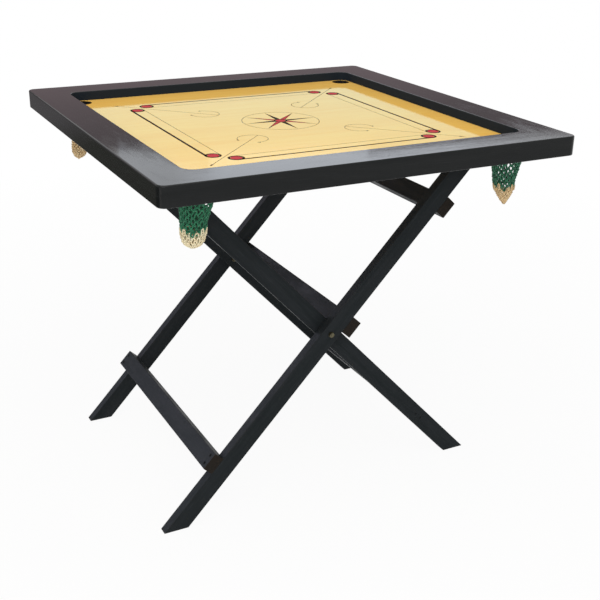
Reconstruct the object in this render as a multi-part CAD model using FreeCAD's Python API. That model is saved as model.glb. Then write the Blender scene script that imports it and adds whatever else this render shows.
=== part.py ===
import FreeCAD, Part
import math
import os

from FreeCAD import Placement, Rotation, Vector

# Carrom board lying on a folding X stand. Millimetres.
# +Z is up, +X runs along the near edge of the board, +Y runs away from it.
# The origin is on the floor, below the centre of the board.

# ---- Sizes: frame of the board ----
play_side = 740.0            # square playing surface, between the rails
rail_width = 77.0
rail_height = 40.0
play_depth = 21.0            # playing surface below the top of the rails
outer_corner_radius = 16.0
top_outer_round = 3.0
top_inner_round = 2.0
bottom_outer_round = 1.5

# ---- Sizes: playing panel and its pockets ----
panel_thickness = 8.0
panel_tongue = 12.0          # how far the panel reaches into the groove of the rails
tongue_end_clearance = 1.0
panel_corner_radius = 3.0
pocket_radius = 22.25
pocket_wall_gap = 2.0        # from the edge of a pocket to the rail beside it
pocket_edge_round = 0.8

# ---- Sizes: tongues in the mitres ----
spline_length = 44.0         # along the mitre
spline_width = 30.0          # across the mitre
spline_thickness = 6.0
spline_cover = 7.5           # wood above the tongue

# ---- Sizes: battens and blocks under the panel ----
pocket_block_side = 90.0
block_hole_margin = 3.0      # the hole in a block is this much larger than the pocket, all round
edge_batten_width = 60.0
cross_batten_width = 40.0

# ---- Sizes: pocket nets and their tacks ----
net_wall = 2.5
net_rim_radius = 44.0
net_rim_width = 8.0
net_rim_thickness = 3.0
net_neck_radius = 26.5
net_neck_drop = 46.0         # below the underside of the board
net_flare_sag = 5.5          # how far the net sags inwards between its rim and its neck
net_body_radius = 24.5
net_depth = 118.0            # below the underside of the board, to the round bottom
tacks_per_net = 6
tack_radius = 0.9
tack_head_radius = 2.6
tack_head_thickness = 1.0
tack_length = 8.0            # in the wood

# ---- Sizes: stand ----
stand_height = 766.0         # floor to the underside of the board
pivot_height = 385.0
pivot_x = -15.5
outer_overhang_length = 106.4  # from the edge of the board in to the middle of the outer legs' tops
inner_overhang_length = 70.6   # from the edge of the board in to the middle of the inner legs' tops
net_to_leg_clearance = 25.0    # from the rim of a net to the outer leg beside it
leg_thickness = 22.0
outer_leg_width = 40.0
fold_clearance = 0.3         # between the inner legs and the lapped rails when folded flat
wood_edge_round = 1.5

# ---- Sizes: rails of the stand ----
lap_rail_width = 40.0
lap_rail_thickness = 25.0
outer_top_end_length = 135.8   # outer leg above its top rail, along its middle
outer_foot_end_length = 141.3  # outer leg below its bottom rail, along its middle
stop_clearance = 0.3         # between the stop rail and the inner legs when open
butt_rail_width = 40.0
butt_rail_thickness = 22.0
inner_top_end_length = 57.3    # inner leg above its top rail, along its middle
inner_foot_end_length = 138.7  # inner leg below its bottom rail, along its middle

# ---- Sizes: pivot bolts ----
bolt_radius = 3.0
bolt_head_flats = 10.0
bolt_head_height = 4.0
bolt_end_proud = 3.0
pivot_bore_clearance = 0.05  # running fit of the inner legs on the bolts, all round
washer_radius = 6.0
washer_thickness = 1.6
washer_bore_clearance = 0.2
washer_play = 0.2            # free space on each side of the spacer washer
nut_height = 6.0
nut_collar_height = 1.6
nut_collar_radius = 4.4
nut_play = 0.2               # free space under the nut washer

# ---- Sizes: countersunk screws ----
stand_screw_radius = 2.0
stand_screw_head_radius = 4.0
stand_screw_head_depth = 2.4
lap_screw_length = 45.0
butt_screw_length = 50.0
stand_screw_spacing = 20.0
batten_screw_radius = 1.5
batten_screw_head_radius = 3.0
batten_screw_head_depth = 1.8
batten_screw_length = 15.0
screws_per_edge_batten = 4
screws_per_cross_batten = 4
block_screw_inset = 12.0
screw_point_length = 3.0
screw_tip_radius = 0.2
recess_reach_share = 0.55    # arms of the cross recess, as a share of the head's radius
recess_width_share = 0.22    # width of those arms, as a share of the head's radius
recess_depth_share = 0.6     # depth of the recess, as a share of the head's depth

# ---- Heights and places that follow from the sizes ----
board_top = stand_height + rail_height
play_top = board_top - play_depth
panel_bottom = play_top - panel_thickness
batten_thickness = panel_bottom - stand_height
play_half = play_side / 2
board_half = play_half + rail_width
inner_corner_radius = pocket_radius + pocket_wall_gap
pocket_offset = play_half - inner_corner_radius
batten_reach = play_half - pocket_block_side
cross_reach = play_half - edge_batten_width
leg_gap = washer_thickness + 2 * washer_play
outer_face_y = pocket_offset - net_rim_radius - net_to_leg_clearance
inner_leg_face_y = outer_face_y - leg_thickness - leg_gap
between_inner_legs_y = inner_leg_face_y - leg_thickness
inner_leg_width = outer_leg_width - 2 * fold_clearance
top_rise = stand_height - pivot_height
outer_lean = math.atan2(top_rise, board_half - outer_overhang_length - pivot_x)
inner_lean = math.atan2(top_rise, board_half - inner_overhang_length + pivot_x)

CORNERS = {
    "near_left": (-1, -1),
    "near_right": (1, -1),
    "far_left": (-1, 1),
    "far_right": (1, 1),
}
SIDES = {"near": (0, -1), "far": (0, 1), "left": (-1, 0), "right": (1, 0)}
UP = Vector(0, 0, 1)
DOWN = Vector(0, 0, -1)
AWAY = Vector(0, 1, 0)
NEARLY_ZERO = 1e-6

parts = {}


# ---- Shape helpers ----
def box_between(low, high):
    size = Vector(*high) - Vector(*low)
    return Part.makeBox(size.x, size.y, size.z, Vector(*low))


def square_prism(half, bottom, top, corner_radius):
    """Upright square block centred on the board, with rounded upright edges."""
    block = box_between((-half, -half, bottom), (half, half, top))
    return round_edges(block, UP, corner_radius)


def straight_edges(shape, direction):
    """Every straight edge of the shape that runs along the direction."""
    found = []
    for edge in shape.Edges:
        if isinstance(edge.Curve, (Part.Line, Part.LineSegment)):
            if edge.tangentAt(edge.FirstParameter).cross(direction).Length < NEARLY_ZERO:
                found.append(edge)
    return found


def round_edges(shape, direction, radius):
    return shape.makeFillet(radius, straight_edges(shape, direction))


def prism_in_xz(points, y_low, y_high):
    """Prism whose outline is drawn in X and Z and which runs along Y."""
    outline = [Vector(x, y_low, z) for x, z in points]
    face = Part.Face(Part.makePolygon(outline + outline[:1]))
    return face.extrude(Vector(0, y_high - y_low, 0))


def hexagon_prism(flats, height):
    """Hexagonal block that stands on the origin, its corners turned halfway down to its flats."""
    corner = flats / math.sqrt(3)
    ring = []
    for step in range(6):
        angle = math.radians(60 * step)
        ring.append(Vector(corner * math.cos(angle), corner * math.sin(angle), 0))
    block = Part.Face(Part.makePolygon(ring + ring[:1])).extrude(Vector(0, 0, height))
    return block.common(Part.makeCylinder((corner + flats / 2) / 2, height))


def along(shape, point, direction):
    """Carry a shape that was drawn on the origin, along +Z, to a point and a direction."""
    moved = shape.copy()
    moved.Placement = Placement(point, Rotation(UP, direction))
    return moved


def both_sides(near_shape):
    """The near shape and its mirror image at the far side of the stand."""
    return [near_shape, near_shape.mirror(Vector(0, 0, 0), AWAY)]


def evenly(count, reach):
    """Places spread evenly between -reach and reach."""
    step = 2 * reach / count
    return [-reach + step * (index + 0.5) for index in range(count)]


# ---- Screws ----
class Screw:
    """Countersunk wood screw: its head is flush with the face it is driven into."""

    def __init__(self, radius, head_radius, head_depth, length):
        self.radius = radius
        self.head_radius = head_radius
        self.head_depth = head_depth
        self.length = length

    def solid(self, point, direction):
        """The wood that the screw takes up."""
        shank_end = self.length - screw_point_length
        head = Part.makeCone(self.head_radius, self.radius, self.head_depth)
        shank = Part.makeCylinder(self.radius, shank_end)
        tip = Part.makeCone(self.radius, screw_tip_radius, screw_point_length, Vector(0, 0, shank_end))
        return along(head.fuse([shank, tip]).removeSplitter(), point, direction)

    def with_recess(self, point, direction):
        """The screw itself, with the cross recess in its head."""
        half = self.head_radius * recess_width_share / 2
        reach = self.head_radius * recess_reach_share
        depth = self.head_depth * recess_depth_share
        bar = box_between((-reach, -half, 0), (reach, half, depth))
        cross_bar = box_between((-half, -reach, 0), (half, reach, depth))
        recess = along(bar.fuse(cross_bar), point, direction)
        return self.solid(point, direction).cut(recess)


lap_screw = Screw(stand_screw_radius, stand_screw_head_radius, stand_screw_head_depth, lap_screw_length)
butt_screw = Screw(stand_screw_radius, stand_screw_head_radius, stand_screw_head_depth, butt_screw_length)
batten_screw = Screw(
    batten_screw_radius, batten_screw_head_radius, batten_screw_head_depth, batten_screw_length
)


# ---- Board: rails, tongues and panel ----
def spline(corner):
    """Plywood tongue across the mitre of one corner, level with the rails' upper half."""
    side_x, side_y = corner
    inner_point = pocket_offset + inner_corner_radius * math.sqrt(0.5)
    outer_point = board_half - outer_corner_radius * (1 - math.sqrt(0.5))
    middle = (inner_point + outer_point) / 2
    low = (-spline_length / 2, -spline_width / 2, 0)
    high = (spline_length / 2, spline_width / 2, spline_thickness)
    plate = box_between(low, high)
    height = board_top - spline_cover - spline_thickness
    turn = math.degrees(math.atan2(side_y, side_x))
    plate.Placement = Placement(Vector(middle * side_x, middle * side_y, height), Rotation(UP, turn))
    return plate


def rim_edges(ring, height, outside):
    """The loop of edges round the ring at one height, outside or inside."""
    found = []
    for edge in ring.Edges:
        box = edge.BoundBox
        if abs(box.ZMin - height) < NEARLY_ZERO and abs(box.ZMax - height) < NEARLY_ZERO:
            reach = max(abs(box.XMin), abs(box.XMax), abs(box.YMin), abs(box.YMax))
            if (reach > (board_half + play_half) / 2) == outside:
                found.append(edge)
    return found


def frame_ring(splines):
    """All four rails as one ring, with the groove for the panel and the tongue slots."""
    ring = square_prism(board_half, stand_height, board_top, outer_corner_radius)
    ring = ring.cut(square_prism(play_half, stand_height, board_top, inner_corner_radius))
    ring = ring.makeFillet(top_outer_round, rim_edges(ring, board_top, True))
    ring = ring.makeFillet(top_inner_round, rim_edges(ring, board_top, False))
    ring = ring.makeFillet(bottom_outer_round, rim_edges(ring, stand_height, True))
    groove_half = play_half + panel_tongue + tongue_end_clearance
    groove = square_prism(groove_half, panel_bottom, play_top, panel_corner_radius)
    return ring.cut([groove] + splines)


def rail_wedge(side):
    """The quarter of the board, cut along the mitres, that one rail lies in."""
    side_x, side_y = side
    far = board_half + rail_width
    first = Vector(far * (side_x - side_y), far * (side_y - side_x), stand_height)
    second = Vector(far * (side_x + side_y), far * (side_y + side_x), stand_height)
    centre = Vector(0, 0, stand_height)
    face = Part.Face(Part.makePolygon([centre, first, second, centre]))
    return face.extrude(Vector(0, 0, rail_height))


def pocket_axis(corner, height):
    side_x, side_y = corner
    return Vector(side_x * pocket_offset, side_y * pocket_offset, height)


def playing_panel():
    half = play_half + panel_tongue
    panel = square_prism(half, panel_bottom, play_top, panel_corner_radius)
    for corner in CORNERS.values():
        hole = Part.makeCylinder(pocket_radius, panel_thickness, pocket_axis(corner, panel_bottom))
        panel = panel.cut(hole)
    pocket_edges = []
    for edge in panel.Edges:
        if edge.Closed and abs(edge.BoundBox.ZMin - play_top) < NEARLY_ZERO:
            pocket_edges.append(edge)
    return panel.makeFillet(pocket_edge_round, pocket_edges)


splines = [spline(corner) for corner in CORNERS.values()]
ring = frame_ring(splines)
for side_name, side in SIDES.items():
    parts["frame_rail_" + side_name] = ring.common(rail_wedge(side))
parts["mitre_splines"] = Part.makeCompound(splines)


# ---- Board: battens and pocket blocks ----
def edge_batten(side):
    """Batten under the panel along one rail, between two pocket blocks."""
    side_x, side_y = side
    near_edge = play_half - edge_batten_width
    if side_x:
        low_x, high_x = sorted((side_x * near_edge, side_x * play_half))
        return box_between((low_x, -batten_reach, stand_height), (high_x, batten_reach, panel_bottom))
    low_y, high_y = sorted((side_y * near_edge, side_y * play_half))
    return box_between((-batten_reach, low_y, stand_height), (batten_reach, high_y, panel_bottom))


def edge_batten_screw_points(side):
    side_x, side_y = side
    middle = play_half - edge_batten_width / 2
    points = []
    for place in evenly(screws_per_edge_batten, batten_reach):
        x = side_x * middle + abs(side_y) * place
        y = side_y * middle + abs(side_x) * place
        points.append(Vector(x, y, stand_height))
    return points


def pocket_block(corner):
    """Square block round one pocket hole; its hole opens into the corner of the rails."""
    side_x, side_y = corner
    low_x, high_x = sorted((side_x * batten_reach, side_x * play_half))
    low_y, high_y = sorted((side_y * batten_reach, side_y * play_half))
    block = box_between((low_x, low_y, stand_height), (high_x, high_y, panel_bottom))
    hole_radius = pocket_radius + block_hole_margin
    hole = Part.makeCylinder(hole_radius, batten_thickness, pocket_axis(corner, stand_height))
    corner_of_rails = square_prism(play_half, stand_height, panel_bottom, inner_corner_radius)
    return block.common(corner_of_rails).cut(hole)


def block_screw_points(corner):
    side_x, side_y = corner
    inner = batten_reach + block_screw_inset
    outer = play_half - block_screw_inset
    places = [(inner, inner), (inner, outer), (outer, inner)]
    return [Vector(side_x * x, side_y * y, stand_height) for x, y in places]


half_lap = stand_height + batten_thickness / 2
lap_half = cross_batten_width / 2
crossing_above = box_between((-lap_half, -lap_half, half_lap), (lap_half, lap_half, panel_bottom))
crossing_below = box_between((-lap_half, -lap_half, stand_height), (lap_half, lap_half, half_lap))
lengthwise = box_between((-cross_reach, -lap_half, stand_height), (cross_reach, lap_half, panel_bottom))
crosswise = box_between((-lap_half, -cross_reach, stand_height), (lap_half, cross_reach, panel_bottom))

under_panel = {
    "cross_batten_lengthwise": lengthwise.cut(crossing_above),
    "cross_batten_crosswise": crosswise.cut(crossing_below),
}
batten_screw_points = []
for place in evenly(screws_per_cross_batten, cross_reach):
    batten_screw_points.append(Vector(place, 0, stand_height))
    batten_screw_points.append(Vector(0, place, stand_height))
for side_name, side in SIDES.items():
    under_panel["edge_batten_" + side_name] = edge_batten(side)
    batten_screw_points += edge_batten_screw_points(side)
for corner_name, corner in CORNERS.items():
    under_panel["pocket_block_" + corner_name] = pocket_block(corner)
    batten_screw_points += block_screw_points(corner)

batten_screw_room = [batten_screw.solid(point, UP) for point in batten_screw_points]
parts["playing_panel"] = playing_panel().cut(batten_screw_room)
for name, batten in under_panel.items():
    parts[name] = batten.cut(batten_screw_room)
parts["batten_screws"] = Part.makeCompound(
    [batten_screw.with_recess(point, UP) for point in batten_screw_points]
)


# ---- Board: pocket nets ----
def net_side(rim_radius, top_z, shrink):
    """Side of the bag from its rim down to the axis, drawn in X and Z for a net at the origin.

    The outer side has shrink 0 and the inner side has the wall's thickness.
    """
    body_drop = net_depth - net_body_radius
    round_bottom = net_body_radius - shrink
    diagonal = round_bottom * math.sqrt(0.5)
    start = Vector(rim_radius, 0, top_z)
    neck = Vector(net_neck_radius - shrink, 0, -net_neck_drop)
    body = Vector(round_bottom, 0, -body_drop)
    bottom_middle = Vector(diagonal, 0, -body_drop - diagonal)
    tip = Vector(0, 0, -body_drop - round_bottom)
    flare_middle = (start + neck) * 0.5 + Vector(-net_flare_sag, 0, 0)
    return [
        Part.Arc(start, flare_middle, neck).toShape(),
        Part.LineSegment(neck, body).toShape(),
        Part.Arc(body, bottom_middle, tip).toShape(),
    ]


def net_bag():
    """Closed shell of a pocket net at the origin, its rim against the underside of the board."""
    rim_inner = net_rim_radius - net_rim_width
    outer = net_side(net_rim_radius, -net_rim_thickness, 0.0)
    inner = net_side(rim_inner, 0.0, net_wall)
    top = Part.LineSegment(Vector(rim_inner, 0, 0), Vector(net_rim_radius, 0, 0)).toShape()
    edge = Part.LineSegment(
        Vector(net_rim_radius, 0, 0), Vector(net_rim_radius, 0, -net_rim_thickness)
    ).toShape()
    bottom = Part.LineSegment(Vector(0, 0, -net_depth), Vector(0, 0, -net_depth + net_wall)).toShape()
    loop = Part.Wire([top, edge] + outer + [bottom] + inner[::-1])
    return Part.Face(loop).revolve(Vector(0, 0, 0), UP, 360)


def tack_points(corner):
    """Places of the tacks round one net, on the middle of its rim, at the rim's lower face."""
    side_x, side_y = corner
    axis = pocket_axis(corner, stand_height - net_rim_thickness)
    radius = net_rim_radius - net_rim_width / 2
    first = math.atan2(side_y, side_x)
    points = []
    for index in range(tacks_per_net):
        angle = first + 2 * math.pi * index / tacks_per_net
        points.append(axis + Vector(radius * math.cos(angle), radius * math.sin(angle), 0))
    return points


def tack(point):
    """Tack driven upwards through the rim of a net."""
    head_base = point - Vector(0, 0, tack_head_thickness)
    head = Part.makeCylinder(tack_head_radius, tack_head_thickness, head_base)
    shank = Part.makeCylinder(tack_radius, net_rim_thickness + tack_length, point)
    return head.fuse(shank)


bag = net_bag()
tacks = []
for corner_name, corner in CORNERS.items():
    net = bag.copy()
    net.translate(pocket_axis(corner, stand_height))
    corner_tacks = [tack(point) for point in tack_points(corner)]
    parts["pocket_net_" + corner_name] = net.cut(corner_tacks)
    block_name = "pocket_block_" + corner_name
    parts[block_name] = parts[block_name].cut(corner_tacks)
    tacks += corner_tacks
for side_name in SIDES:
    rail_name = "frame_rail_" + side_name
    parts[rail_name] = parts[rail_name].cut(tacks)
parts["net_tacks"] = Part.makeCompound(tacks)


# ---- Stand: a frame is two leaning legs and the rails between them ----
class LeaningFrame:
    """Directions of one leg pair: `up_leg` runs up along the legs, `across` is square to them.

    `across` points up and back for the outer legs, up and forwards for the inner legs.
    """

    def __init__(self, angle, towards):
        self.up_leg = Vector(towards * math.cos(angle), 0, math.sin(angle))
        self.across = Vector(-towards * math.sin(angle), 0, math.cos(angle))
        self.pivot = Vector(pivot_x, 0, pivot_height)
        self.top_reach = top_rise / math.sin(angle)
        self.foot_reach = pivot_height / math.sin(angle)

    def point(self, up, out, y=0.0):
        return self.pivot + self.up_leg * up + self.across * out + AWAY * y

    def bar(self, up_range, out_range, y_range):
        """Straight bar that runs along Y, square to the legs, with rounded long edges."""
        (up_low, up_high), (out_low, out_high) = up_range, out_range
        corners = []
        for up, out in [(up_low, out_low), (up_high, out_low), (up_high, out_high), (up_low, out_high)]:
            corner = self.point(up, out)
            corners.append((corner.x, corner.z))
        return round_edges(prism_in_xz(corners, *y_range), AWAY, wood_edge_round)

    def leg(self, width, y_range):
        """Leg through the pivot, its foot flat on the floor and its top flat under the board."""
        corners = []
        for height, out_order in [(0.0, (-1, 1)), (stand_height, (1, -1))]:
            for side in out_order:
                base = self.point(0, side * width / 2)
                run = (height - base.z) / self.up_leg.z
                corners.append((base.x + run * self.up_leg.x, height))
        return round_edges(prism_in_xz(corners, *y_range), self.up_leg, wood_edge_round)


outer = LeaningFrame(outer_lean, 1)
inner = LeaningFrame(inner_lean, -1)
pivot_near = Vector(pivot_x, -outer_face_y, pivot_height)


def pivot_hole(radius):
    """Bore through the legs of the near side, from outside to inside."""
    return Part.makeCylinder(radius, outer_face_y, pivot_near, AWAY)


# ---- Stand: the three rails lapped on the outer legs ----
def stop_rail_reach():
    """Distance from the pivot at which the stop rail just clears the open inner legs."""
    opening = outer_lean + inner_lean
    room = inner_leg_width / 2 + stop_clearance
    return (room + outer_leg_width / 2 * math.cos(opening)) / math.sin(opening)


top_rail_reach = outer.top_reach - outer_top_end_length - lap_rail_width
bottom_rail_reach = outer.foot_reach - outer_foot_end_length - lap_rail_width
outer_face = outer_leg_width / 2
rail_span = (-outer_face_y, outer_face_y)
above_legs = (outer_face, outer_face + lap_rail_thickness)
below_legs = (-outer_face - lap_rail_thickness, -outer_face)


def rail_range(reach):
    """Where a lapped rail starts and ends along the legs; a negative reach is below the pivot."""
    if reach < 0:
        return (reach - lap_rail_width, reach)
    return (reach, reach + lap_rail_width)


LAP_RAILS = {
    "outer_top_rail": (rail_range(top_rail_reach), below_legs),
    "stop_rail": (rail_range(stop_rail_reach()), below_legs),
    "outer_bottom_rail": (rail_range(-bottom_rail_reach), above_legs),
}

lap_screws = []
lap_screw_room = []
for up_range, out_range in LAP_RAILS.values():
    up_middle = sum(up_range) / 2
    from_below = out_range[0] < 0
    head_out = out_range[0] if from_below else out_range[1]
    direction = outer.across if from_below else outer.across * -1
    for y in (-outer_face_y + leg_thickness / 2, outer_face_y - leg_thickness / 2):
        for offset in (-stand_screw_spacing / 2, stand_screw_spacing / 2):
            head = outer.point(up_middle + offset, head_out, y)
            lap_screws.append(lap_screw.with_recess(head, direction))
            lap_screw_room.append(lap_screw.solid(head, direction))

for name, (up_range, out_range) in LAP_RAILS.items():
    parts[name] = outer.bar(up_range, out_range, rail_span).cut(lap_screw_room)
parts["outer_rail_screws"] = Part.makeCompound(lap_screws)

outer_leg = outer.leg(outer_leg_width, (-outer_face_y, -outer_face_y + leg_thickness))
outer_leg = outer_leg.cut(pivot_hole(bolt_radius))
for side_name, leg in zip(("near", "far"), both_sides(outer_leg)):
    parts["outer_leg_" + side_name] = leg.cut(lap_screw_room)

# ---- Stand: the inner legs and the rails butted between them ----
inner_top_rail_reach = inner.top_reach - inner_top_end_length - butt_rail_width
inner_bottom_rail_reach = inner.foot_reach - inner_foot_end_length - butt_rail_width
butt_half = butt_rail_thickness / 2
butt_span = (-between_inner_legs_y, between_inner_legs_y)
BUTT_RAILS = {
    "inner_top_rail": (inner_top_rail_reach, inner_top_rail_reach + butt_rail_width),
    "inner_bottom_rail": (-inner_bottom_rail_reach - butt_rail_width, -inner_bottom_rail_reach),
}

butt_screws = []
butt_screw_room = []
for up_range in BUTT_RAILS.values():
    up_middle = sum(up_range) / 2
    for offset in (-stand_screw_spacing / 2, stand_screw_spacing / 2):
        for y, direction in ((-inner_leg_face_y, AWAY), (inner_leg_face_y, AWAY * -1)):
            head = inner.point(up_middle + offset, 0, y)
            butt_screws.append(butt_screw.with_recess(head, direction))
            butt_screw_room.append(butt_screw.solid(head, direction))

for name, up_range in BUTT_RAILS.items():
    parts[name] = inner.bar(up_range, (-butt_half, butt_half), butt_span).cut(butt_screw_room)
parts["inner_rail_screws"] = Part.makeCompound(butt_screws)

inner_leg = inner.leg(inner_leg_width, (-inner_leg_face_y, -between_inner_legs_y))
inner_leg = inner_leg.cut(pivot_hole(bolt_radius + pivot_bore_clearance))
for side_name, leg in zip(("near", "far"), both_sides(inner_leg)):
    parts["inner_leg_" + side_name] = leg.cut(butt_screw_room)


# ---- Stand: bolts, washers and lock nuts, head outside and nut inside ----
def washer(y_start):
    """Washer on the near pivot, from y_start towards the middle of the stand."""
    ring = Part.makeCylinder(washer_radius, washer_thickness)
    ring = ring.cut(Part.makeCylinder(bolt_radius + washer_bore_clearance, washer_thickness))
    return along(ring, Vector(pivot_x, y_start, pivot_height), AWAY)


head_y = -outer_face_y - washer_thickness
nut_washer_y = -between_inner_legs_y + nut_play
nut_y = nut_washer_y + washer_thickness
bolt_length = nut_y + nut_height + bolt_end_proud - head_y

head = hexagon_prism(bolt_head_flats, bolt_head_height)
bolt = Part.makeCylinder(bolt_radius, bolt_length).fuse(head.translated(DOWN * bolt_head_height))
bolt = along(bolt, Vector(pivot_x, head_y, pivot_height), AWAY)

hexagon = hexagon_prism(bolt_head_flats, nut_height - nut_collar_height)
nut = hexagon.fuse(Part.makeCylinder(nut_collar_radius, nut_height))
nut = nut.cut(Part.makeCylinder(bolt_radius, nut_height))
nut = along(nut, Vector(pivot_x, nut_y, pivot_height), AWAY)

PIVOT_HARDWARE = {
    "pivot_bolts": bolt,
    "head_washers": washer(head_y),
    "spacer_washers": washer(-outer_face_y + leg_thickness + washer_play),
    "nut_washers": washer(nut_washer_y),
    "pivot_nuts": nut,
}
for name, near_piece in PIVOT_HARDWARE.items():
    parts[name] = Part.makeCompound(both_sides(near_piece))

# ---- Write one file per piece ----
os.makedirs("parts", exist_ok=True)
for name, shape in parts.items():
    shape.exportStep(os.path.join("parts", name + ".step"))
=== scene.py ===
"""Carrom board on a folding stand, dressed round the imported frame. Lengths are in metres.

Gives the CAD pieces their materials, and adds the printed markings, the yarn of the pocket nets, the studio
and the camera.
"""
import math
import random

import bpy
import numpy as np
from mathutils import Euler, Matrix, Vector


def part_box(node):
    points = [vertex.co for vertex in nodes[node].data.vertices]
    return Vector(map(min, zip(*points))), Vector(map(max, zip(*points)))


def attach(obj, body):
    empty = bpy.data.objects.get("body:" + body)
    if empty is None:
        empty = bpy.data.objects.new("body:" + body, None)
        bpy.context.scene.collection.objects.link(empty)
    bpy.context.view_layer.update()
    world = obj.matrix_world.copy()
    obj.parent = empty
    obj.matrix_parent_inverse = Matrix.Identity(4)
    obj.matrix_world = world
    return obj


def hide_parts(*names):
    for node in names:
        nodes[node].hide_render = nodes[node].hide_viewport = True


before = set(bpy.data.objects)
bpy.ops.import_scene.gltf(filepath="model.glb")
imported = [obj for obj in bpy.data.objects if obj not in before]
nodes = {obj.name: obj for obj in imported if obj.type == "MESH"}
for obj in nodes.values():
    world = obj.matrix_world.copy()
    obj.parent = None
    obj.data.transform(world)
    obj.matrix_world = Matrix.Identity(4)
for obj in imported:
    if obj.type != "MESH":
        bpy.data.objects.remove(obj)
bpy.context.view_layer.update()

MM = 0.001
scene = bpy.context.scene

# ---------------------------------------------------------------- sizes of the board
board_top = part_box("frame_rail_near")[1].z
surface_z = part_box("playing_panel")[1].z
net_low, net_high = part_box("pocket_net_near_right")
pocket_at = (net_low.x + net_high.x) / 2       # from the middle of the board, along x and along y
pocket_radius = 22.25 * MM                     # of the holes in the playing surface
play_half = 370.0 * MM                         # half a side of the playing surface


# ---------------------------------------------------------------- node helpers
class Graph:
    """The node tree of a material or of the world, with short calls for adding and linking nodes."""

    def __init__(self, owner):
        self.owner = owner
        owner.use_nodes = True
        self.tree = owner.node_tree
        self.tree.nodes.clear()

    def add(self, kind, settings=None, **inputs):
        node = self.tree.nodes.new("ShaderNode" + kind)
        for key, value in (settings or {}).items():
            setattr(node, key, value)
        for key, value in inputs.items():
            self.set(node, key.replace("_", " "), value)
        return node

    def set(self, node, key, value):
        """Links a socket, or gives it a value. A key of digits is a place in the list of inputs."""
        socket = node.inputs[int(key)] if key.isdigit() else node.inputs[key]
        if isinstance(value, bpy.types.NodeSocket):
            self.tree.links.new(value, socket)
        else:
            socket.default_value = value

    def math(self, operation, first, second=0.0, clamp=False):
        node = self.add("Math", {"operation": operation, "use_clamp": clamp})
        self.set(node, "0", first)
        self.set(node, "1", second)
        return node.outputs[0]

    def vector(self, operation, first, second=None, output="Vector"):
        node = self.add("VectorMath", {"operation": operation})
        self.set(node, "0", first)
        if second is not None:
            self.set(node, "1", second)
        return node.outputs[output]

    def ramp(self, value, low, high, to_low=0.0, to_high=1.0):
        """Straight change from to_low at low to to_high at high, level outside them."""
        node = self.add("MapRange", {"clamp": True}, Value=value)
        for key, number in (("From Min", low), ("From Max", high), ("To Min", to_low), ("To Max", to_high)):
            self.set(node, key, number)
        return node.outputs[0]

    def mix(self, factor, first, second):
        node = self.add("Mix", {"data_type": "RGBA"})
        for key, value in (("0", factor), ("6", first), ("7", second)):
            self.set(node, key, value)
        return node.outputs[2]

    def mix_numbers(self, factor, first, second):
        node = self.add("Mix", {"data_type": "FLOAT"})
        for key, value in (("0", factor), ("2", first), ("3", second)):
            self.set(node, key, value)
        return node.outputs[0]

    def object_place(self):
        return self.add("TexCoord").outputs["Object"]

    def face_normal(self):
        return self.add("NewGeometry").outputs["True Normal"]

    def noise(self, rotation, sizes, offset, detail, roughness, distortion=0.0):
        """Noise in object space. sizes: of its features along the grain (X of rotation) and across it."""
        place = self.add("Mapping", {"vector_type": "TEXTURE"}, Vector=self.object_place(), Location=offset,
                         Rotation=rotation, Scale=sizes)
        return self.add("TexNoise", Vector=place.outputs[0], Scale=1.0, Detail=detail, Roughness=roughness,
                        Distortion=distortion).outputs[0]

    def bands(self, rotation, sizes, offset, direction, profile, distortion, detail):
        """Wavy parallel bands, for growth rings and for the layers of plywood."""
        place = self.add("Mapping", {"vector_type": "TEXTURE"}, Vector=self.object_place(), Location=offset,
                         Rotation=rotation, Scale=sizes)
        kind = {"wave_type": "BANDS", "bands_direction": direction, "wave_profile": profile}
        return self.add("TexWave", kind, Vector=place.outputs[0], Scale=0.16, Distortion=distortion,
                        Detail=detail).outputs[1]

    def bump(self, height, distance, strength, normal=None):
        node = self.add("Bump", Height=height, Distance=distance, Strength=strength)
        if normal is not None:
            self.set(node, "Normal", normal)
        return node.outputs[0]

    def edges(self, distance, samples=6):
        """1 on the arrises of the solid, 0 on its flat faces."""
        node = self.add("AmbientOcclusion", {"inside": True, "only_local": True, "samples": samples},
                        Distance=distance)
        return self.math("SUBTRACT", 1.0, node.outputs["AO"], clamp=True)

    def seen(self):
        """1 for the rays that show the surroundings: from the camera, in gloss and through glass."""
        path = self.add("LightPath")
        bounced = self.math("MAXIMUM", path.outputs["Is Glossy Ray"], path.outputs["Is Transmission Ray"])
        return self.math("MAXIMUM", path.outputs["Is Camera Ray"], bounced)

    def finish(self, **inputs):
        shader = self.add("BsdfPrincipled", **inputs)
        self.add("OutputMaterial", Surface=shader.outputs[0])
        return self.owner


def material_graph(name):
    return Graph(bpy.data.materials.new(name))


def rgb(red, green, blue):
    return (red, green, blue, 1.0)


def scaled(colour, factor):
    return rgb(*[min(1.0, c * factor) for c in colour[:3]])


# ---------------------------------------------------------------- colours, linear
STILL = Euler((0.0, 0.0, 0.0))
ORIGIN = (0.0, 0.0, 0.0)
FRAME_PAINT, FRAME_PAINT_LIGHT = rgb(0.0068, 0.0080, 0.0082), rgb(0.0112, 0.0121, 0.0125)
STAND_PAINT, STAND_PAINT_LIGHT = rgb(0.0152, 0.0190, 0.0205), rgb(0.0232, 0.0265, 0.0292)
# colours of the lighter arrises: worn paint, and also a painted highlight standing in for the glints along the
# edges
WEAR_AND_GLINT_FRAME, WEAR_AND_GLINT_STAND = rgb(0.070, 0.063, 0.058), rgb(0.050, 0.041, 0.034)
MATT_WALL = rgb(0.012, 0.018, 0.026)
END_GRAIN_DARK, END_GRAIN_LIGHT = rgb(0.010, 0.0085, 0.0065), rgb(0.036, 0.025, 0.017)
HOLE_AND_EDGE_BLACK = rgb(0.012, 0.011, 0.010)
LACQUER_LIGHT, LACQUER_DARK = rgb(0.99, 0.625, 0.150), rgb(0.97, 0.555, 0.115)
LACQUER_STREAK = rgb(0.84, 0.42, 0.070)
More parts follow.
